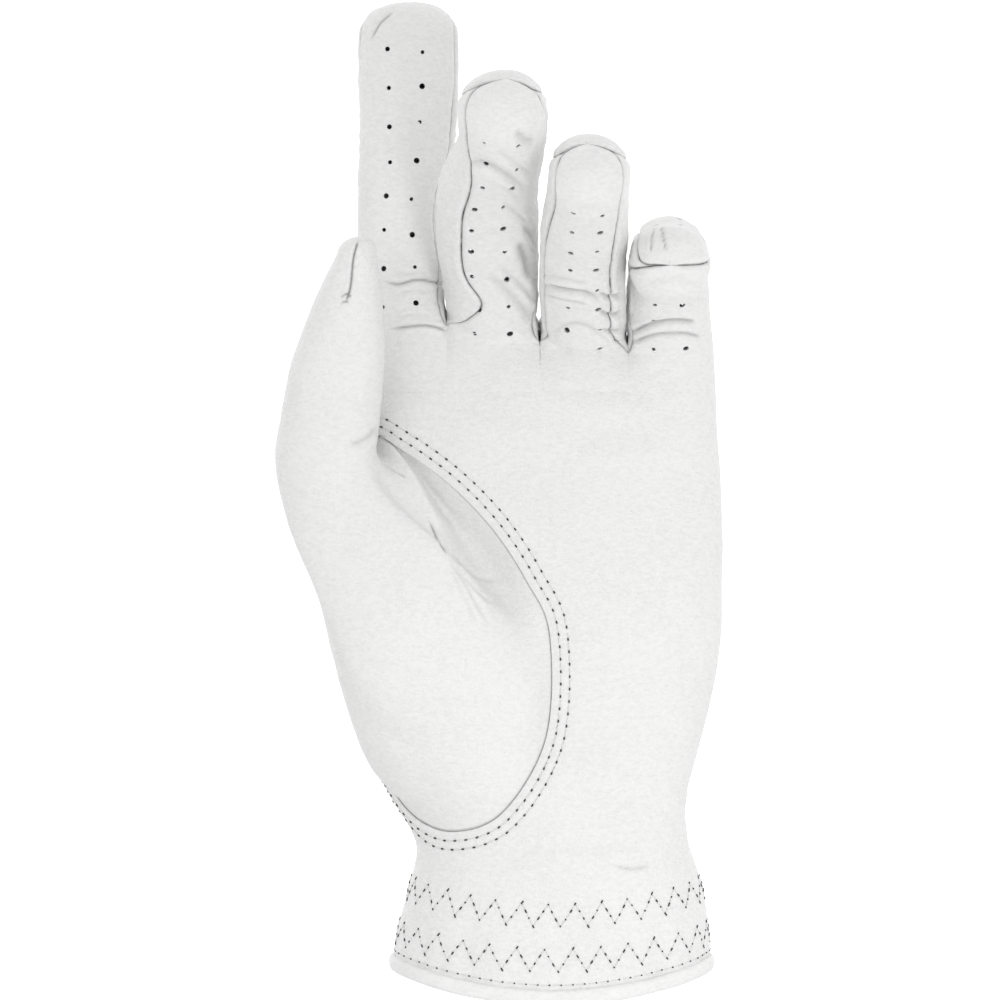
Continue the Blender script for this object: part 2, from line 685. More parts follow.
def finger_grid(f):
    """Grid of a whole finger skin, its faces, its distances, and its panels' columns."""
    end = f.top + TIP * math.pi / 2
    rows = np.linspace(SPLIT_Z - f.root, end, round((end - SPLIT_Z + f.root) / FINE))
    az, columns, root = finger_angles(f, rows, end)
    p = joined_finger(f, az, rows[:, None])
    cols = len(root)
    keep = np.ones((len(rows) - 1, cols), bool)
    crotch_row = {}
    for side, name in PANEL_SIDES:
        if name in columns:
            gap = np.arange(*columns[name])
            k = close_crotch(f, side, p, f.root + rows, gap, columns[name][1] % cols, root)
            keep[:k, gap] = False
            crotch_row[name] = k
    return p, keep, rows, columns, crotch_row


def roll_seams(f, relief, columns, crotch_row, rows):
    """Rolls the panels' edges inwards, so that each seam is a fine groove with puckered sides."""
    cols = relief.p.shape[1]
    groove, ridge = np.zeros(relief.height.shape), np.zeros(relief.height.shape)
    top = int(np.argmin(np.abs(rows - f.top)))
    for side, (a, b) in columns.items():
        for end, j in ((0, a), (1, b % cols)):
            to_right = side in ("right_fourchette", ("back", "front")[end])
            k = crotch_row.get("right_fourchette" if to_right else "left_fourchette", 0)
            start = smooth(rows[k], rows[k] + 2.5, rows) if k else np.ones(len(rows))
            for part, reach in ((slice(0, top), 7), (slice(top, len(rows)), 40)):
                near = (np.arange(-reach, reach + 1) + j) % cols
                p, at = relief.p[part, near], (part, near)
                d = np.linalg.norm(p - relief.p[part, j][:, None], axis=2)
                share = start[part, None]
                pucker = 1 + 0.9 * noise(p, 2.3, 5)
                groove[at] = np.minimum(groove[at], -SEAM_DEPTH * share * dip(d, 0.42))
                ridge[at] = np.maximum(ridge[at], 0.16 * share * pucker * dip(d - 1.5, 0.8))
                broken = 0.85 + 0.3 * noise(p, 1.3, 8)
                relief.seam[at] = np.maximum(relief.seam[at], broken * share * dip(d, SEAM_DARK))
    relief.height += groove + ridge


def close_tip(normals):
    """Gives the last rows of a grid that ends in a point one shared outward direction."""
    normals[-2:] = unit(normals[-4].mean(0))


def punch_rows(f, p, keep, pits, reach, middle, radius):
    """Punches pairs of round holes along a panel, at nearly even distances up the finger."""
    (v, end), k = reach, 0
    while v < end:
        for sign in (-1, 1):
            a = middle + sign * HOLE_SPREAD + 3 * math.sin(7 * k + sign)
            at = joined_finger(f, a, v + 0.5 * math.sin(5 * k + 2 * sign))
            d = np.linalg.norm(p - at, axis=-1)
            i, j = np.unravel_index(np.argmin(d), d.shape)
            punch(p, keep, pits, p[i, j].copy(), radius * (1 + 0.2 * math.sin(3 * k + 2 * sign)))
        v, k = v + HOLE_PITCH, k + 1


# ---------------------------------------------------------------- thumb and its base


def thumb_half(k):
    """Half widths of the thumb, across and deep, at a share k of its length."""
    full = np.clip(k, 0, 1)
    return (mix(THUMB_ROOT_HALF[0], THUMB_TIP_HALF[0], full ** 2.1),
            mix(THUMB_ROOT_HALF[1], THUMB_TIP_HALF[1], full ** 1.3))


THUMB_LENGTH = float(np.linalg.norm(THUMB_TIP - THUMB_ROOT))
THUMB_AXIS = (THUMB_TIP - THUMB_ROOT) / THUMB_LENGTH


def thumb_point(a, k):
    """Point of the thumb at an angle and a share k of its length; from 1 to 2 k is on the tip."""
    a, k = np.broadcast_arrays(np.radians(a), np.asarray(k, float))
    hx, hy = thumb_half(k)
    el = np.clip(k - 1, 0, 1) * math.pi / 2
    round_off = np.cos(el) ** 0.9
    along = THUMB_LENGTH * np.minimum(k, 1) + THUMB_CAP * np.sin(el)
    across = np.stack([hx * round_off * power(np.cos(a), SECTION),
                       hy * round_off * power(np.sin(a), SECTION), np.zeros_like(hx)], -1)
    return THUMB_ROOT + THUMB_AXIS * along[..., None] + across


# For each point of LOOP, two points that shape the leather between the opening and the thumb
NEAR = np.array([
    (-9, -18.2, 84.5), (-14.5, -11.5, 94), (-21.5, -9.4, 105.5), (-29, -8.4, 115.5),
    (-36, -7.4, 124.5), (-43, -5, 127), (-47.5, -2.5, 122), (-49.5, -1, 106), (-49, -4, 86),
    (-46.6, -6, 68), (-41.6, -9.5, 53.5), (-33.5, -16, 49), (-24, -20.5, 49.5), (-15, -22, 57),
    (-8, -21.5, 70)], float)
FAR = np.array([
    (-24.6, -25, 100.5), (-24.4, -18.6, 102), (-28, -16.8, 112), (-32.4, -13.4, 119.5),
    (-38, -7.5, 125), (-45, -3.5, 126), (-51, -1.5, 121), (-55.6, -3, 112), (-55.4, -8, 104),
    (-53.8, -13, 95), (-51, -19, 86), (-47.4, -23.3, 81), (-41.5, -26, 80.5), (-35, -27, 84),
    (-29.5, -26.6, 93)], float)


def loop_at(u):
    """Angle and height of the opening's edge; the curve is drawn in space, so it stays even."""
    p = ring_curve(hand_point(LOOP[:, 0], LOOP[:, 1]), u)
    return np.stack([angle_of(p), p[..., 2]], -1)


def loop_point(u, off, rise=0.0):
    """Point at a distance off outside the thumb opening's edge, and a rise above the leather."""
    u = np.asarray(u, float)
    at, ahead = loop_at(u), loop_at(u + 0.03)
    edge = hand_point(at[..., 0], at[..., 1])
    forward = unit(hand_point(ahead[..., 0], ahead[..., 1]) - edge)
    moved = edge + np.cross(forward, hand_normal(at[..., 0], at[..., 1])) * off
    t, z = angle_of(moved), moved[..., 2]
    base = hand_point(t, z)
    return base + hand_normal(t, z) * (rise + panel_height(base, t, z))[..., None]


def thumb_skin():
    """Grid from under the opening's edge, over the thumb's base, up to the thumb's tip."""
    n = len(LOOP)
    u = np.linspace(0, n, THUMB_COLUMNS, endpoint=False)
    a = u * 360 / n - THUMB_TURN
    edge = loop_point(u, 0, -EDGE_DROP)
    flap = loop_point(u, UNDERLAP, -FLAP_DROP)
    near, far = ring_curve(NEAR, u), ring_curve(FAR, u)
    ring = thumb_point(a, 0.0)
    ahead = thumb_point(a, 0.02) - ring
    ahead *= (np.linalg.norm(ring - far, axis=1) / np.linalg.norm(ahead, axis=1))[:, None]
    rows = [flap + (edge - flap) * share for share in np.linspace(0, 1, UNDER_ROWS, endpoint=False)]
    for controls, count in (((2 * edge - near, edge, near, far), 52), ((edge, near, far, ring), 62),
                            ((near, far, ring, far + 2 * ahead), 52)):
        rows += [curve_between(*controls, share) for share in np.linspace(0, 1, count, endpoint=False)]
    base_rows = len(rows)
    rows += [thumb_point(a, k) for k in np.linspace(0, 1, 100, endpoint=False)]
    rows += [thumb_point(a, k) for k in np.linspace(1, 2, 26)]
    return np.array(rows), base_rows


# ---------------------------------------------------------------- materials


SEAM_COLOUR = (0.03, 0.03, 0.032)


def node_tree(name):
    """New material, its node tree and its shader."""
    mat = bpy.data.materials.new(name)
    mat.use_nodes = True
    tree = mat.node_tree
    return mat, tree, tree.nodes["Principled BSDF"]


def add(tree, kind, **values):
    """New node with some of its properties set."""
    node = tree.nodes.new(kind)
    for key, value in values.items():
        setattr(node, key, value)
    return node


def math_node(tree, op, a, b):
    """Result of an operation on two values; each is a number or another node's output."""
    node = add(tree, "ShaderNodeMath", operation=op)
    for socket, value in zip(node.inputs, (a, b)):
        if isinstance(value, (int, float)):
            socket.default_value = value
        else:
            tree.links.new(value, socket)
    return node.outputs[0]


def texture(tree, kind, where, scale, **more):
    """New texture node at given places, with its scale and some of its other inputs set."""
    node = tree.nodes.new(kind)
    node.inputs["Scale"].default_value = scale
    for key, value in more.items():
        node.inputs[key].default_value = value
    tree.links.new(where, node.inputs["Vector"])
    return node


def mixed(tree, share, first, second):
    """Colour between two colours by a share; each colour is a constant or another node's output."""
    node = tree.nodes.new("ShaderNodeMixRGB")
    tree.links.new(share, node.inputs["Fac"])
    for name, colour in (("Color1", first), ("Color2", second)):
        if isinstance(colour, tuple):
            node.inputs[name].default_value = (*colour, 1)
        else:
            tree.links.new(colour, node.inputs[name])
    return node.outputs["Color"]


def ranged(tree, value, ends):
    """Value spread over a new range; ends sets the names and values of the ends that change."""
    node = tree.nodes.new("ShaderNodeMapRange")
    for name, end in ends.items():
        node.inputs[name].default_value = end
    tree.links.new(value, node.inputs["Value"])
    return node.outputs["Result"]


def roughen(tree, shader, height, strength, depth):
    """Gives a shader a bump from a height."""
    bump = tree.nodes.new("ShaderNodeBump")
    bump.inputs["Strength"].default_value = strength
    bump.inputs["Distance"].default_value = depth
    tree.links.new(height, bump.inputs["Height"])
    tree.links.new(bump.outputs["Normal"], shader.inputs["Normal"])


def darker(colour, share):
    """Colour at a share of its brightness."""
    return tuple(c * share for c in colour)


def leather_material(name, colour, grain=1.0):
    """Soft white leather: fine drawn-out grain and small creases, with darker seams from the mesh."""
    mat, tree, shader = node_tree(name)
    rest = add(tree, "ShaderNodeAttribute", attribute_name="rest").outputs["Vector"]
    drawn = add(tree, "ShaderNodeVectorMath", operation="MULTIPLY")
    tree.links.new(rest, drawn.inputs[0])
    drawn.inputs[1].default_value = (0.55, 0.55, 1.0)
    fine = texture(tree, "ShaderNodeTexNoise", drawn.outputs[0], 1300, Detail=3.0, Roughness=0.65)
    pebbles = texture(tree, "ShaderNodeTexVoronoi", rest, 1700)
    crease = texture(tree, "ShaderNodeTexNoise", drawn.outputs[0], 330, Detail=5.0, Roughness=0.62)
    broad = texture(tree, "ShaderNodeTexNoise", rest, 60, Detail=3.0)
    height = math_node(tree, "MULTIPLY", pebbles.outputs["Distance"], -0.35)
    height = math_node(tree, "ADD", height, fine.outputs["Fac"])
    height = math_node(tree, "ADD", height, math_node(tree, "MULTIPLY", crease.outputs["Fac"], 1.2))
    roughen(tree, shader, height, 0.75 * grain, 0.0003)
    cloud = math_node(tree, "ADD", math_node(tree, "MULTIPLY", broad.outputs["Fac"], 0.25),
                      math_node(tree, "MULTIPLY", fine.outputs["Fac"], 0.75))
    cloud = ranged(tree, cloud, {"From Min": 0.42, "From Max": 0.72})
    tone = mixed(tree, cloud, colour, darker(colour, 0.9))
    seam = add(tree, "ShaderNodeAttribute", attribute_name="seam").outputs["Fac"]
    tree.links.new(mixed(tree, seam, tone, SEAM_COLOUR), shader.inputs["Base Color"])
    rough = ranged(tree, crease.outputs["Fac"], {"To Min": 0.46, "To Max": 0.62})
    tree.links.new(rough, shader.inputs["Roughness"])
    shader.inputs["Specular IOR Level"].default_value = 0.4
    return mat


def thread_material(name, colour, twist):
    """Twisted thread: fine diagonal bands in colour and bump."""
    mat, tree, shader = node_tree(name)
    rest = add(tree, "ShaderNodeAttribute", attribute_name="rest").outputs["Vector"]
    wave = texture(tree, "ShaderNodeTexWave", rest, twist, Distortion=1.5).outputs["Fac"]
    tree.links.new(mixed(tree, wave, darker(colour, 0.8), colour), shader.inputs["Base Color"])
    roughen(tree, shader, wave, 0.4, 0.0001)
    shader.inputs["Roughness"].default_value = 0.75
    return mat


def woven_material(name, colour, scale):
    """Ribbed elastic or hook-and-loop pile: waves broken by small cells."""
    mat, tree, shader = node_tree(name)
    rest = add(tree, "ShaderNodeAttribute", attribute_name="rest").outputs["Vector"]
    ribs = texture(tree, "ShaderNodeTexWave", rest, scale, Distortion=2.0)
    pile = texture(tree, "ShaderNodeTexVoronoi", rest, scale * 6).outputs["Distance"]
    roughen(tree, shader, math_node(tree, "ADD", ribs.outputs["Fac"], pile), 0.7, 0.0004)
    tree.links.new(mixed(tree, pile, darker(colour, 0.82), colour), shader.inputs["Base Color"])
    shader.inputs["Roughness"].default_value = 0.9
    return mat


# The record's slot and the material of each look
PANEL = ("leather", leather_material("white_leather", (0.86, 0.86, 0.855)))
BINDING = ("leather", leather_material("binding_leather", (0.87, 0.87, 0.865), 0.6))
THREAD = ("thread", thread_material("white_thread", (0.84, 0.84, 0.835), 900))
PIT = ("thread", thread_material("needle_pit", (0.04, 0.04, 0.042), 900))
ELASTIC = ("elastic", woven_material("ribbed_elastic", (0.84, 0.84, 0.82), 700))
PATCH = ("hook_and_loop", woven_material("hook_and_loop_pile", (0.82, 0.82, 0.81), 500))


def finish_piece(piece, look, nodes, body="hand", bend=None):
    """Gives a piece its slot and material, the CAD nodes it stands for, and its body or its bend."""
    slot, material = look
    piece.data.materials.append(material)
    if nodes:
        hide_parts(*nodes)
    if bend:
        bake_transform(piece)
    else:
        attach(piece, body)


# ---------------------------------------------------------------- hand panels


def hand_grid(angles, low, high, step):
    """Grid of the hand's surface between two heights, its angles and its heights."""
    low = np.broadcast_to(low, angles.shape)
    count = round(float((high - low).max()) / step)
    k = np.linspace(0, 1, count + 1)[:, None]
    z = low * (1 - k) + high * k
    t = np.broadcast_to(angles, z.shape)
    return hand_point(t, z), t, z


def even_angles(first, last, z, step):
    """Angles between two ends, a step of surface length apart at a height."""
    fine = np.linspace(first, last, 2000)
    length = run_of(hand_point(fine, z))
    return np.interp(np.linspace(0, length[-1], round(length[-1] / step) + 1), length, fine)


LOOP_DENSE = loop_at(np.linspace(0, len(LOOP), 900, endpoint=False))
LOOP_LINE = hand_point(LOOP_DENSE[:, 0], LOOP_DENSE[:, 1])


def inside_loop(t, z):
    """True where a point of the hand's surface lies in the thumb opening."""
    x, y = t.ravel(), z.ravel()
    inside = np.zeros(len(x), bool)
    for (ax, ay), (bx, by) in zip(LOOP_DENSE, np.roll(LOOP_DENSE, -1, 0)):
        cross = (ay > y) != (by > y)
        if cross.any():
            inside[cross] ^= x[cross] < (bx - ax) * (y[cross] - ay) / (by - ay) + ax
    return inside.reshape(t.shape)


def cut_loop(p, t, z):
    """Opens the thumb hole in a grid and brings its rim exactly onto the cut line."""
    inside = inside_loop(t, z)
    if inside.any():
        p[inside] = LOOP_LINE[distance_to(p[inside], LOOP_LINE)[1]]
    return ~(inside[:-1, :-1] & inside[1:, :-1] & inside[:-1, 1:] & inside[1:, 1:])


# Folds on the palm side: points (x, z), then half width, depth, ridge height, darkness and how much
# of each end fades out
PALM_FOLDS = [
    ([(13, 30.9), (17.5, 30.1), (22, 30.8)], 0.5, 0.4, 0.12, 0.2),
    ([(23.5, 45), (27, 39.5), (29.5, 34)], 0.8, 0.4, 0.15),
    ([(25.5, 51), (28.5, 45.5), (30.5, 40)], 0.7, 0.3, 0.1),
    ([(-2, 37), (8, 35.2), (19, 36.5)], 1.4, 0.35, 0.12),
    ([(-23.8, 148), (-23.4, 145), (-23.9, 141.5)], 0.5, 0.45, 0.15, 0.2),
    ([(-24.4, 147.4), (-26.4, 145.6), (-29, 145)], 0.4, 0.35, 0.15, 0.2),
    ([(-23, 147.4), (-20.8, 145), (-19.6, 142)], 0.4, 0.35, 0.15, 0.2),
    ([(-3.2, 147), (-2.8, 143.5), (-3.4, 139.5)], 0.5, 0.45, 0.15),
    ([(16.4, 143), (16.2, 139.5), (15.4, 136)], 0.5, 0.4, 0.15),
    ([(-22, 137), (-6, 139.5), (12, 137), (27, 138.5)], 2.2, 0.4, 0.15),
    ([(2, 124), (13, 127.5), (26, 126)], 2.6, 0.35, 0.12),
    ([(-16, 127), (-8, 121), (0, 112)], 2.4, 0.3, 0.12),
    ([(12, 96), (22, 90), (30, 82)], 2.6, 0.3, 0.12),
    ([(18, 66), (25, 61), (29.5, 54)], 2.0, 0.35, 0.12),
    ([(6, 50), (14, 46), (24, 46.5)], 1.8, 0.35, 0.12),
]
THUMB_FOLDS = [
    ([(-28, 108), (-25.4, 103), (-23.6, 99.8)], 0.35, 0.35, 0.1, 0.55),
    ([(-23.5, 99.5), (-18.5, 91.5), (-13.5, 83)], 0.6, 0.45, 0.15, 0.1),
    ([(-22.5, 100.5), (-17.5, 95.5), (-12, 93.5)], 0.5, 0.4, 0.15, 0.12),
    ([(-23, 99), (-17.8, 92.8), (-12.6, 88.5)], 0.5, 0.4, 0.15, 0.12),
    ([(-23.5, 98), (-19.5, 90), (-16.5, 83.5)], 0.6, 0.3, 0.12, 0.06),
    ([(-25, 97), (-23, 90), (-21.5, 82)], 0.8, 0.3, 0.12),
    ([(-30, 117), (-25, 110.5), (-19.5, 104)], 0.9, 0.35, 0.12),
    ([(-45.6, 124), (-42.5, 124.6), (-40.2, 126.4), (-39.4, 128.4)], 0.7, 0.55, 0.15, 0.2),
    ([(-46.8, 156.2), (-45.4, 156.8), (-44.2, 156)], 0.3, 0.35, 0.15, 0.6),
    ([(-47, 154.6), (-45.8, 155.2), (-44.8, 154.8)], 0.3, 0.3, 0.12, 0.5),
    ([(-47, 134), (-43, 132), (-39, 133)], 1.1, 0.3, 0.1),
    ([(-50, 144), (-45, 142.5), (-40, 144)], 1.2, 0.25, 0.1),
    ([(-42.9, 168.2), (-43.9, 164.5), (-44.6, 158.5), (-45.6, 155.2)], 0.35, 0.4, 0.15, 0.75, 0.1),
    ([(-47, 80), (-38, 74), (-27, 71)], 2.6, 0.35, 0.12),
    ([(-43, 64), (-35, 59), (-24, 57)], 2.2, 0.3, 0.12),
]
FINGER_FOLDS = {
    "index": [
        ([(-39, 161.2), (-35, 160.2), (-31, 161.2), (-27.5, 161), (-23.2, 159.6)],
         0.42, 0.6, 0.3, 0.5),
        ([(-37, 163.4), (-33, 162.6), (-28, 163)], 0.5, 0.25, 0.15, 0.08),
        ([(-36, 157.6), (-31.5, 158.8), (-27, 158.4)], 0.4, 0.25, 0.12, 0.08),
        ([(-38, 150), (-33.5, 150.6), (-29, 151), (-25.4, 150.4), (-23.6, 149.4)],
         0.4, 0.6, 0.3, 0.5),
        ([(-36, 152.6), (-31.5, 153.4), (-27, 153)], 0.45, 0.25, 0.15, 0.08),
        ([(-41, 178), (-35, 176.6), (-29, 177.6)], 0.9, 0.25, 0.1),
        ([(-41, 214.5), (-38.8, 218.5), (-35.6, 221.4)], 0.4, 0.35, 0.1, 0.5),
    ],
    "middle": [
        ([(-19.6, 184.8), (-15, 183.6), (-10.8, 181.6), (-5, 178.4)], 0.9, 0.8, 0.28, 0.25),
        ([(-13, 186.4), (-8.6, 184), (-4.6, 181.6)], 0.5, 0.35, 0.15, 0.1),
        ([(-14, 180.4), (-10, 178.6), (-7, 176)], 0.5, 0.3, 0.12, 0.08),
        ([(-9, 190.5), (-6.4, 188.2), (-4.4, 188.4)], 1.1, 1.0, 0.25, 0.2),
        ([(-8, 169), (-5.8, 165), (-5, 160.6)], 1.2, 1.3, 0.25, 0.3),
        ([(-7, 172.5), (-4.8, 170), (-3.6, 166.5)], 0.8, 0.7, 0.2, 0.2),
        ([(-15.8, 162), (-9.5, 157.4), (-3.6, 152)], 1.0, 0.7, 0.3, 0.15),
        ([(-13, 164), (-7.5, 160), (-4, 156)], 0.7, 0.4, 0.2, 0.1),
        ([(-12, 176), (-8.5, 174.6), (-5, 172)], 0.6, 0.4, 0.15, 0.12),
        ([(-16, 153.5), (-11, 151.5), (-6, 150)], 0.7, 0.35, 0.12),
    ],
    "ring": [
        ([(-3.4, 159.6), (1.5, 158), (6, 157.2), (11, 155.4)], 0.7, 0.9, 0.35, 0.4),
        ([(-2.6, 157.4), (2.5, 155.8), (8, 154.8)], 0.4, 0.45, 0.2, 0.25),
        ([(-3, 161.6), (2.5, 160), (8, 159)], 0.5, 0.35, 0.2, 0.1),
        ([(9.4, 157.4), (12.4, 156.4), (15.8, 157.8)], 0.6, 0.9, 0.35, 0.35),
        ([(9.6, 153.6), (12.8, 152.6), (15.9, 154)], 0.6, 0.9, 0.35, 0.4),
        ([(10.2, 150), (13, 149.2), (15.9, 150.4)], 0.6, 0.7, 0.3, 0.3),
        ([(-2, 148.6), (3.5, 150.6), (8, 149.8), (13.6, 146.4)], 0.7, 0.55, 0.2, 0.15),
        ([(2, 174.5), (7, 173.4), (12, 174.4)], 0.9, 0.35, 0.12),
    ],
    "little": [
        ([(21.4, 171.5), (20.9, 168.5), (20.4, 165.6)], 0.3, 0.3, 0.12, 0.4, 0.1),
        ([(23, 171.5), (23.4, 168.5), (23.8, 165.6)], 0.3, 0.3, 0.12, 0.4, 0.1),
        ([(17.2, 149.4), (22, 151.2), (27, 151.8), (32, 151.6)], 0.5, 0.9, 0.35, 0.45, 0.1),
        ([(17.4, 147.2), (23, 148.8), (29, 149), (33, 148.4)], 0.45, 0.7, 0.3, 0.4, 0.1),
        ([(18.2, 158.4), (25, 159.4), (33, 158)], 1.2, 0.45, 0.16, 0.06),
        ([(21, 170.5), (26, 169.4), (31, 170.6)], 0.7, 0.3, 0.12),
        ([(22, 154.8), (27, 155.2), (32, 154)], 0.6, 0.25, 0.1),
    ],
}


# Angles of the hand's two side seams, which run on from the outer seams of the outer fingers
SIDE_SEAM, OUTSEAM = (float(angle_of(joined_finger(f, az, SPLIT_Z - f.root)))
                      for f, az in ((FINGERS[0], 150), (FINGERS[3], 40)))

# Soft unevenness of the leather: size in mm, height and seed of each layer
SOFTNESS = [(26, 0.45, 1), (11, 0.22, 2), (5, 0.07, 3)]
FINGER_SOFT = [(15, 0.3, 4), (6, 0.13, 5), (2.6, 0.04, 6)]


def cuff_ripples(relief, t, z):
    """Upright ripples where the elastic draws the leather in, and a groove above the binding."""
    p = relief.p
    girth = np.stack([p[..., 0], p[..., 1], z * 0.18], -1)
    relief.height += dip(z - 10, 16) * 0.42 * noise(girth, 3.6, 11)
    relief.height -= 0.3 * dip(z - hem_z(t) - 3.7, 0.5)


def sink_edges(relief, columns, width, dark):
    """Rolls a panel inwards and darkens it along some of its columns, where it is sewn."""
    for column in columns:
        d = np.linalg.norm(relief.p - relief.p[:, column][:, None], axis=2)
        relief.height -= SEAM_DEPTH * dip(d, width)
        relief.seam = np.maximum(relief.seam, dip(d, dark))


def build_palm():
    """Palm in two grids, finer at the cuff, with the thumb opening and its two stitched grooves."""
    middle = sum(LOOP_ROWS) / 2
    t_cuff = even_angles(SIDE_SEAM, 360 + OUTSEAM, 25, CUFF_STEP)
    t_hand = even_angles(SIDE_SEAM, 360 + OUTSEAM, (PALM_SPLIT_Z + SPLIT_Z) / 2, PALM_STEP)
    for name, t, low, high, step in (
            ("palm_panel_cuff", t_cuff, hem_z(t_cuff) + SHEET_START, PALM_SPLIT_Z, CUFF_STEP),
            ("palm_panel_hand", t_hand, PALM_SPLIT_Z, SPLIT_Z, PALM_STEP)):
        p, tt, zz = hand_grid(t, low, high, step)
        r = Relief(p.copy()).soft(SOFTNESS)
        keep = cut_loop(p, tt, zz)
        cuff_ripples(r, tt, zz)
        near = (tt > 175) & (zz < 133)
        d = np.full(zz.shape, 99.0)
        d[near] = distance_to(p[near], LOOP_LINE)[0]
        r.height += 0.13 * dip(d - middle, 0.8) - 0.08 * dip(d - LOOP_ROWS[0], 0.5)
        r.height -= 0.08 * dip(d - LOOP_ROWS[1], 0.5) + 0.3 * dip(d, 0.7)
        sink_edges(r, [-1], 0.45, SEAM_DARK)
        for line in PALM_FOLDS:
            r.line(*line)
        r.wrinkles(smooth(1, 8, d), (0.5, 0.5, 1), 3.2, 0.05, 32)
        # The normals come from the uncut grid, so the cut edge stays even
        piece = sheet_mesh(name, p + r.n * r.height[..., None], keep=keep, seam=r.seam,
                           normals=normals_of(r.done()), thick=LEATHER - 0.35 * dip(d, 1.2))
        finish_piece(piece, PANEL, ["palm_panel"])


def slit_half(z):
    """Half angle of the wrist slit, which narrows from the hem to its end."""
    return np.degrees(np.arcsin((SLIT_HALF[1] + (SLIT_TOP - z) / SLIT_TOP
                                 * (SLIT_HALF[0] - SLIT_HALF[1])) / WRIST_HALF))


def build_back():
    """Back above the slit, then its two flaps beside the slit."""
    p, _, _ = hand_grid(even_angles(OUTSEAM, SIDE_SEAM, 95, BACK_STEP), SLIT_TOP, SPLIT_Z, BACK_STEP)
    r = Relief(p).soft(SOFTNESS)
    sink_edges(r, (0, -1), 0.5, 0.22)
    piece = sheet_mesh("back_panel_hand", r.done(), seam=r.seam)
    finish_piece(piece, PANEL, ["back_panel"])
    z = np.linspace(0, SLIT_TOP, 110)[:, None]
    k = np.linspace(0, 1, 130)
    for side, first, last, seam_column in (("right", OUTSEAM, 90 - slit_half(z), 0),
                                           ("left", 90 + slit_half(z), SIDE_SEAM, -1)):
        t = first + (last - first) * k
        low = hem_z(t) + SHEET_START
        z2 = low + (SLIT_TOP - low) * (z / SLIT_TOP)
        r = Relief(hand_point(t, z2)).soft(SOFTNESS)
        cuff_ripples(r, t, z2)
        sink_edges(r, [seam_column], 0.5, 0.22)
        piece = sheet_mesh("back_panel_cuff_" + side, r.done(), seam=r.seam)
        finish_piece(piece, PANEL, ["back_panel"])


# ---------------------------------------------------------------- fingers


def way_of(lean):
    """Direction up a finger that leans towards the palm by an angle."""
    return np.array([0.0, -math.sin(lean), math.cos(lean)])


def spine_point(f, v):
    """Point of a finger's middle line, in the plane across the hand."""
    return np.array([0, *spine(f, v)[:2]])


def bend_along(way, centre, start, end):
    """Ends of a bend through a joint's centre, at two heights measured along a direction."""
    base = centre - way * (centre @ way)
    return base + way * start, base + way * end


def bends_of(f, crotches, cut):
    """Bends at a finger's knuckle and middle joint; each blends the bodies on both sides of it."""
    way, lower, upper = way_of(f.lean / 2), f.name + "_lower", f.name + "_upper"
    knuckle = bend_along(way, spine_point(f, 0), (crotches @ way).max(), (cut @ way).min())
    way, centre = way_of(f.lean + f.bend / 2), spine_point(f, f.lower)
    mid = bend_along(way, centre, (cut @ way).max(), centre @ way + MID_BEND_END)
    return {"lower": ("hand", lower, *knuckle), "upper": (lower, upper, *mid)}


def build_finger(f):
    """All the panels of a finger, each in a lower and an upper half that meet at the cut row."""
    p, keep, rows, columns, crotch_row = finger_grid(f)
    r = Relief(p, wrap=True).soft(FINGER_SOFT)
    at_joint = dip(rows - f.lower, 7) + 0.8 * dip(rows - 3, 6) + 0.25
    r.wrinkles(at_joint[:, None], (0.3, 0.3, 1), 1.5, 0.17, 31)
    r.wrinkles(at_joint[:, None], (0.6, 0.4, 1), 3.4, 0.22, 34)
    roll_seams(f, r, columns, crotch_row, rows)
    for line in FINGER_FOLDS[f.name]:
        r.line(*line)
    holes = {"front": ((6, f.top + 2), 269, HOLE + 0.06 * (f.name in ("middle", "ring"))),
             "back": ((10, f.top), 91, HOLE)}
    panels, cols = {}, p.shape[1]
    for side, (a, b) in columns.items():
        js = np.arange(a, b + 1) % cols
        base = p[:, js]
        n = normals_of(base)
        close_tip(n)
        outer = base + n * r.height[:, js, None]
        faces, pits = keep[:, js[:-1]], np.zeros(outer.shape[:2])
        n = normals_of(outer)
        close_tip(n)
        if side in holes:
            punch_rows(f, outer, faces, pits, *holes[side])
        panels[side] = (outer, n, faces, r.seam[:, js], pits)
    cut = int(np.argmin(np.abs(rows - f.lower * 0.6)))
    bends = bends_of(f, np.concatenate([panels[name][0][k] for name, k in crotch_row.items()]),
                     np.concatenate([panel[0][cut] for panel in panels.values()]))
    for side, (outer, n, faces, seam, pits) in panels.items():
        for part, first, last, fold in (("lower", 0, cut, "knuckle"),
                                        ("upper", cut, len(rows) - 1, "mid")):
            name, span = f"{f.name}_{part}_{side}", slice(first, last + 1)
            piece = sheet_mesh(name, outer[span], keep=faces[first:last], seam=seam[span],
                               normals=n[span], pits=pits[span])
            nodes = [name, f"{f.name}_{fold}_fold"] if side == "front" else [name]
            finish_piece(piece, PANEL, nodes, bend=bends[part])


# ---------------------------------------------------------------- thumb


def thumb_column(angle):
    """Number of the column of the thumb's grid at an angle."""
    return round((angle + THUMB_TURN) / 360 * THUMB_COLUMNS) % THUMB_COLUMNS


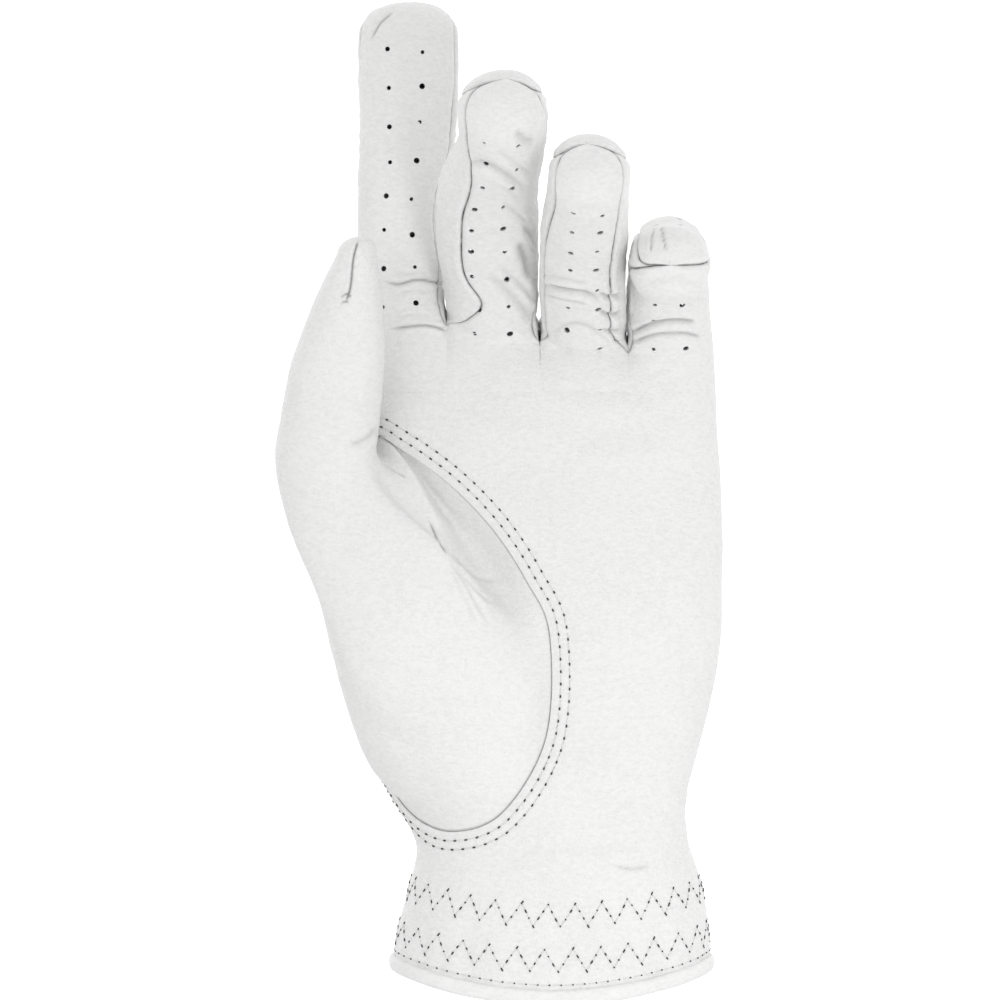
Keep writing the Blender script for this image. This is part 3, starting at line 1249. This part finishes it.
def build_thumb():
    """Thumb's base and tip, each in a front and a back half that meet at two seams."""
    p, base_rows = thumb_skin()
    row = np.arange(len(p))[:, None]
    r = Relief(p, wrap=True).soft(SOFTNESS + [(2.6, 0.03, 6)])
    r.wrinkles(1.0, (0.6, 0.6, 1), 2.6, 0.05, 33)
    r.height *= smooth(UNDER_ROWS, 40, row)
    r.seam += 0.45 * dip(row - UNDER_ROWS - 0.5, 1.4)
    for line in THUMB_FOLDS:
        r.line(*line)
    outer = r.done()
    n = normals_of(outer, wrap=True)
    close_tip(n)
    split = base_rows - 34
    first, last = thumb_column(160), thumb_column(370)
    for j in (first, last):
        near = (np.arange(-7, 8) + j) % THUMB_COLUMNS
        d = np.linalg.norm(outer[split:, near] - outer[split:, j][:, None], axis=2)
        outer[split:, near] -= n[split:, near] * (0.55 * dip(d, 0.45))[..., None]
    front = np.arange(first, last + THUMB_COLUMNS + 1) % THUMB_COLUMNS
    back = np.arange(last, first + 1)
    base, tip = slice(split + 1), slice(split, None)
    base_nodes = ["thumb_base_panel", "thumb_fold"]
    root_bend = ("hand", "thumb", THUMB_ROOT - THUMB_AXIS * 9, THUMB_ROOT + THUMB_AXIS * 9)
    for name, js, span, nodes, bend in (
            ("thumb_base_palm_side", front, base, base_nodes, None),
            ("thumb_base_back_side", back, base, base_nodes, None),
            ("thumb_front", front, tip, ["thumb_front"], root_bend),
            ("thumb_back", back, tip, ["thumb_back"], root_bend)):
        piece = sheet_mesh(name, outer[span][:, js], seam=r.seam[span][:, js], normals=n[span][:, js])
        finish_piece(piece, PANEL, nodes, bend=bend)


# ---------------------------------------------------------------- cuff and stitching


def panel_height(p, t, z):
    """Height of the hand panels' relief at places on the hand."""
    ripple = Relief(p[None]).soft(SOFTNESS)
    cuff_ripples(ripple, np.asarray(t)[None], np.asarray(z)[None])
    return ripple.height[0]


def on_hand(t, z):
    """Point on the hand panels' leather, with its ripples."""
    t, z = np.array([t]), np.array([z])
    base = hand_point(t, z)
    return (base + hand_normal(t, z) * panel_height(base, t, z)[:, None])[0]


class Stitches:
    """A set of raised stitches and the dark needle holes beside them."""

    def __init__(self, radius, pit_radius, sink, pit_rise):
        self.threads, self.pits = [], []
        self.radius, self.pit_radius, self.sink, self.pit_rise = radius, pit_radius, sink, pit_rise

    def sew(self, a, b, out, pit_from, spans):
        """A stitch from a to b, dipping into the leather at both ends, and its needle hole."""
        k = np.linspace(0, 1, 7)[:, None]
        self.threads.append(a + (b - a) * k + out * (0.24 * np.sin(np.pi * k) ** 0.6 - self.sink))
        along = (b - a) / np.linalg.norm(b - a)
        self.pits.append(np.array([pit_from + along * s for s in spans]) + out * self.pit_rise)

    def finish(self, name, pit_name, nodes, body="hand"):
        """Makes the two pieces."""
        piece = bars_mesh(name, self.threads, self.radius)
        finish_piece(piece, THREAD, nodes, body)
        piece = bars_mesh(pit_name, self.pits, self.pit_radius)
        finish_piece(piece, PIT, [], body)


def build_loop_stitches():
    """Two staggered rows of stitches all round the thumb opening."""
    row = Stitches(0.16, 0.2, 0.2, 0.03)
    u = np.linspace(0, len(LOOP), 4000)
    for off, stagger in zip(LOOP_ROWS, (0, 0.5)):
        length = run_of(loop_point(u, off))
        count = round(length[-1] / LOOP_PITCH)
        for k in range(count):
            start = length[-1] * (k + stagger) / count
            ua, ub = np.interp([start, start + LOOP_STITCH], length, u)
            a, b = loop_point(ua, off), loop_point(ub, off)
            row.sew(a, b, hand_normal(*loop_at(ua)), a, (-0.55, -0.25, 0.05))
    row.finish("thumb_hole_stitching", "thumb_hole_needle_pits", ["thumb_hole_stitching"])


def build_zigzag():
    """Two rows of zigzag round the cuff, three stitches to each side of a corner."""
    zigzag = Stitches(0.18, 0.19, 0.22, 0.04)
    corners = even_angles(*CUFF_ARC, 15, ZIG_STEP)
    for row, z0 in enumerate(ZIG_ROWS):
        heights = z0 + ZIG_HEM * hem_z(corners) + ZIG_HEIGHT * (np.arange(len(corners)) % 2)
        for k, (ta, tb, za, zb) in enumerate(zip(corners[:-1], corners[1:], heights[:-1], heights[1:])):
            for part in range(3):
                s0, s1 = (part + 0.14) / 3, (part + 0.88) / 3
                t0, t1, z1, z2 = mix(ta, tb, s0), mix(ta, tb, s1), mix(za, zb, s0), mix(za, zb, s1)
                end = on_hand(t1, z2)
                size = 0.55 + 0.25 * math.sin(5.1 * k + 2.3 * part + row)
                zigzag.sew(on_hand(t0, z1), end, hand_normal((t0 + t1) / 2, (z1 + z2) / 2), end,
                           (0, size / 2, size))
    zigzag.finish("cuff_zigzag_stitching", "cuff_needle_pits", ["cuff_zigzag_stitching"])


def build_binding():
    """Folded strip of leather over the hem, open at the slit."""
    t = np.linspace(99, 441, 900)
    a = np.linspace(0, 2 * np.pi, 28, endpoint=False)[:, None]
    base = hand_point(t, 0.0)
    n = hand_normal(t, 2.0)
    n[:, 2] = 0
    n = unit(n)
    rise = 1.75 + 0.12 * noise(base, 5, 21)
    half = 1.15 + 0.12 * noise(base, 4, 22)
    out = power(np.cos(a), 0.8) * half - 0.35
    up = power(np.sin(a), 0.7) * rise + 1.75 + hem_z(t)
    p = base + n * out[..., None] + np.array([0, 0, 1.0]) * up[..., None]
    faces = grid_faces(*p.shape[:2], closed_rows=True)
    piece = new_mesh("cuff_binding", p.reshape(-1, 3), faces)
    finish_piece(piece, BINDING, ["cuff_binding"])


def build_hem_stitches():
    """One row of plain stitches round the cuff, just above the binding."""
    hem = Stitches(0.13, 0.17, 0.16, 0.04)
    t = np.linspace(112, 428, 6000)
    length = run_of(hand_point(t, hem_z(t) + HEM_STITCH_RISE))
    for k in range(round(length[-1] / PLAIN_PITCH)):
        ta, tb = np.interp([PLAIN_PITCH * k, PLAIN_PITCH * k + PLAIN_STITCH], length, t)
        za, zb = hem_z(ta) + HEM_STITCH_RISE, hem_z(tb) + HEM_STITCH_RISE
        end = on_hand(tb, zb)
        hem.sew(on_hand(ta, za), end, hand_normal(ta, za), end, PLAIN_PIT)
    hem.finish("hem_stitching", "hem_needle_pits", [])


def build_elastics():
    """Elastic bands inside the cuff, behind the zigzag rows."""
    t = np.linspace(CUFF_ARC[0] + 4, CUFF_ARC[1] - 4, 200)
    for name, z0 in zip(("lower_elastic", "upper_elastic"), ZIG_ROWS):
        z = z0 - 0.7 + ZIG_HEM * hem_z(t) + ELASTIC_WIDTH * np.linspace(0, 1, 14)[:, None]
        piece = sheet_mesh(name, hand_point(t, z, 1.35), thick=0.6)
        finish_piece(piece, ELASTIC, [name])


def build_slit_binding():
    """Narrow leather binding up one side of the slit in the back, round its end and down again."""
    z = np.linspace(1.5, SLIT_TOP, 120)
    half = slit_half(z)
    t = np.concatenate([90 + half, 90 - half[::-1]])
    path = hand_point(t, np.concatenate([z, z[::-1]]), 0.35)
    path[115:125, 2] += 0.9 * np.sin(np.linspace(0, math.pi, 10))
    verts, faces = tube(path, 1.0 + 0.08 * noise(path, 4, 23), 14)
    piece = new_mesh("slit_binding", verts, faces)
    finish_piece(piece, BINDING, ["slit_binding"])


def strip_grid(x_from, length, height, rise, round_r, rippled=False):
    """Grid of a strip over the back of the cuff with a rounded end, its edge distances and its x."""
    straight = length - round_r
    body = np.linspace(0, straight, max(4, round(straight / 0.5)), endpoint=False)
    end = straight + round_r * np.sin(np.radians(np.linspace(0, 87, 40)))
    x = x_from - np.concatenate([body, end])
    over = np.clip((x_from - straight - x) / round_r, 0, 1)
    half = height / 2 * np.sqrt(1 - over ** 2)
    z = TAB_Z + half * np.linspace(-1, 1, round(height / 0.5))[:, None]
    t, z = np.broadcast_arrays(hand_angle(x, TAB_Z, False), z)
    base = hand_point(t, z)
    if rippled:
        height = panel_height(base.reshape(-1, 3), t.ravel(), z.ravel())
        rise = rise + height.reshape(t.shape + (1,))
    edge = np.minimum(half - np.abs(z - TAB_Z), x_from - x)
    return base + hand_normal(t, z) * rise, edge, x


def build_patches():
    """Hook patch on the back of the cuff and loop patch under the tab's end."""
    for name, rise, body in (("hook_patch", 1.05, "hand"), ("loop_patch", 1.9, "tab")):
        p, _, _ = strip_grid(PATCH_X, PATCH_LENGTH, TAB_HEIGHT - 7, rise, PATCH_END_R,
                             rippled=name == "hook_patch")
        piece = sheet_mesh(name, p, thick=0.55)
        finish_piece(piece, PATCH, [name], body)


def build_tab():
    """Closure tab, and the doubled leather beside the slit that it is sewn to."""
    p, edge, _ = strip_grid(TAB_X, TAB_LENGTH, TAB_HEIGHT, TAB_RISE, TAB_END_R)
    r = Relief(p).soft([(9, 0.12, 41), (3, 0.03, 42)])
    r.height -= 0.35 * dip(edge, 0.5) + 0.12 * dip(edge - 2, 0.5)
    piece = sheet_mesh("closure_tab", r.done(), thick=1.3)
    finish_piece(piece, PANEL, ["closure_tab"], "tab")
    p, edge, x = strip_grid(ANCHOR_X, ANCHOR_LENGTH, TAB_HEIGHT, 3.1, 0.2)
    r = Relief(p).soft([(9, 0.12, 43), (3, 0.03, 44)])
    fall = smooth(TAB_X + 7, ANCHOR_X, x)
    r.height -= 0.35 * dip(edge, 0.5) + 1.9 * fall
    piece = sheet_mesh("tab_anchor", r.done(), thick=2.3 - 1.9 * fall)
    finish_piece(piece, PANEL, ["tab_anchor"])


def sew_strip(row, x, z, rise):
    """Plain stitches along a line of places over the back of the cuff."""
    t = hand_angle(x, TAB_Z, False)
    line = hand_point(t, z) + hand_normal(t, z) * rise
    length = run_of(line)
    for k in range(int(length[-1] / PLAIN_PITCH)):
        start = PLAIN_PITCH * k
        a, b = (np.array([np.interp(s, length, line[:, i]) for i in range(3)])
                for s in (start, start + PLAIN_STITCH))
        row.sew(a, b, hand_normal(np.interp(start, length, t), TAB_Z), b, PLAIN_PIT)


def build_tab_stitches():
    """A row round the tab, and a row along each side of the anchor."""
    rows = {body: Stitches(0.15, 0.12, 0.06, 0.03) for body in ("tab", "hand")}
    inset = TAB_HEIGHT / 2 - 2
    a = np.linspace(0, math.pi, 60)
    end_x = TAB_X - TAB_LENGTH + TAB_END_R
    side = np.linspace(TAB_X - 2, end_x, 60)
    sew_strip(rows["tab"], np.concatenate([side, end_x - inset * 0.96 * np.sin(a), side[::-1]]),
              TAB_Z + inset * np.concatenate([np.ones(60), np.cos(a), -np.ones(60)]), 3.42)
    up = TAB_Z + np.linspace(-inset, inset, 50)
    sew_strip(rows["hand"], np.full(50, TAB_X + 2.2), up, 3.05)
    sew_strip(rows["hand"], np.full(50, TAB_X + 12.6), up[::-1], 1.62)
    rows["tab"].finish("tab_stitching", "tab_side_tab_pits", ["tab_stitching"], "tab")
    rows["hand"].finish("tab_anchor_stitching", "hand_side_tab_pits", [])


def build_thread_ends():
    """Two loose thread ends at the hem."""
    paths = []
    k = np.linspace(0, 1, 12)[:, None]
    for x, lean in ((-24.2, -0.8), (20.2, 0.9)):
        t = hand_angle(x, 3.0, True)
        start = hand_point(t, 1.6) + hand_normal(t, 2.0) * 0.95
        paths.append(start + k * np.array([lean, -0.3, -3.4]) + np.sin(k * 3) * np.array([0.5, 0, 0]))
    piece = bars_mesh("loose_thread_ends", paths, 0.11)
    finish_piece(piece, THREAD, [])


build_palm()
build_back()
for finger in FINGERS:
    build_finger(finger)
build_thumb()
build_loop_stitches()
build_zigzag()
build_binding()
build_hem_stitches()
build_elastics()
build_slit_binding()
build_patches()
build_tab()
build_tab_stitches()
build_thread_ends()

# ---------------------------------------------------------------- studio


def area_light(name, place, aim, size, power_w):
    """Square light that points at a place and is not seen itself."""
    light = bpy.data.lights.new(name, "AREA")
    light.size = size
    light.energy = power_w
    lamp = bpy.data.objects.new(name, light)
    lamp.location = place
    lamp.rotation_euler = (Vector(aim) - Vector(place)).to_track_quat("-Z", "Y").to_euler()
    lamp.visible_camera = False
    bpy.context.scene.collection.objects.link(lamp)


def plain_material(name, colour, glow):
    """Even matt material for the stage, with a glow of its own."""
    mat, _, shader = node_tree(name)
    shader.inputs["Base Color"].default_value = (*colour, 1)
    shader.inputs["Roughness"].default_value = 0.9
    shader.inputs["Emission Color"].default_value = (1, 1, 1, 1)
    shader.inputs["Emission Strength"].default_value = glow
    return mat


def build_stage():
    """A pale floor with a bright wall behind it, joined by a curve."""
    curve = [(-3.0, -0.12), (1.0, -0.12)]
    bend = np.linspace(0.1, math.pi / 2, 12)
    curve += [(1.0 + 0.8 * math.sin(a), 0.68 - 0.8 * math.cos(a)) for a in bend]
    curve += [(1.8, 3.5)]
    for name, first, last, colour, glow in (("floor", 0, 2, 0.8, 0.0),
                                            ("backdrop", 1, len(curve), 0.9, 0.5)):
        verts = [(x, y, z) for x in (-4.0, 4.0) for y, z in curve[first:last]]
        n = last - first
        faces = [(k, k + n, k + n + 1, k + 1) for k in range(n - 1)]
        mesh = bpy.data.meshes.new(name)
        mesh.from_pydata(verts, [], faces)
        mesh.polygons.foreach_set("use_smooth", [True] * len(faces))
        drop = bpy.data.objects.new(name, mesh)
        bpy.context.scene.collection.objects.link(drop)
        mesh.materials.append(plain_material(name + "_white", (colour,) * 3, glow))


build_stage()
world = bpy.data.worlds.new("studio")
bpy.context.scene.world = world
world.use_nodes = True
world.node_tree.nodes["Background"].inputs["Color"].default_value = (1, 1, 1, 1)
world.node_tree.nodes["Background"].inputs["Strength"].default_value = 0.89
area_light("front", (0.16, -0.34, -0.02), (0, 0, 0.07), 0.12, 0.26)
area_light("left", (-0.5, -0.9, 0.1), (0, 0, 0.1), 0.6, 0.5)
bpy.context.scene.view_settings.view_transform = "Standard"

camera = bpy.data.cameras.new("camera")
camera.sensor_width = 36
camera.lens = 159.3
view = bpy.data.objects.new("camera", camera)
view.location = (-0.012, -1.0, 0.1119)
view.rotation_euler = (math.pi / 2, 0, 0)
bpy.context.scene.collection.objects.link(view)
bpy.context.scene.camera = view
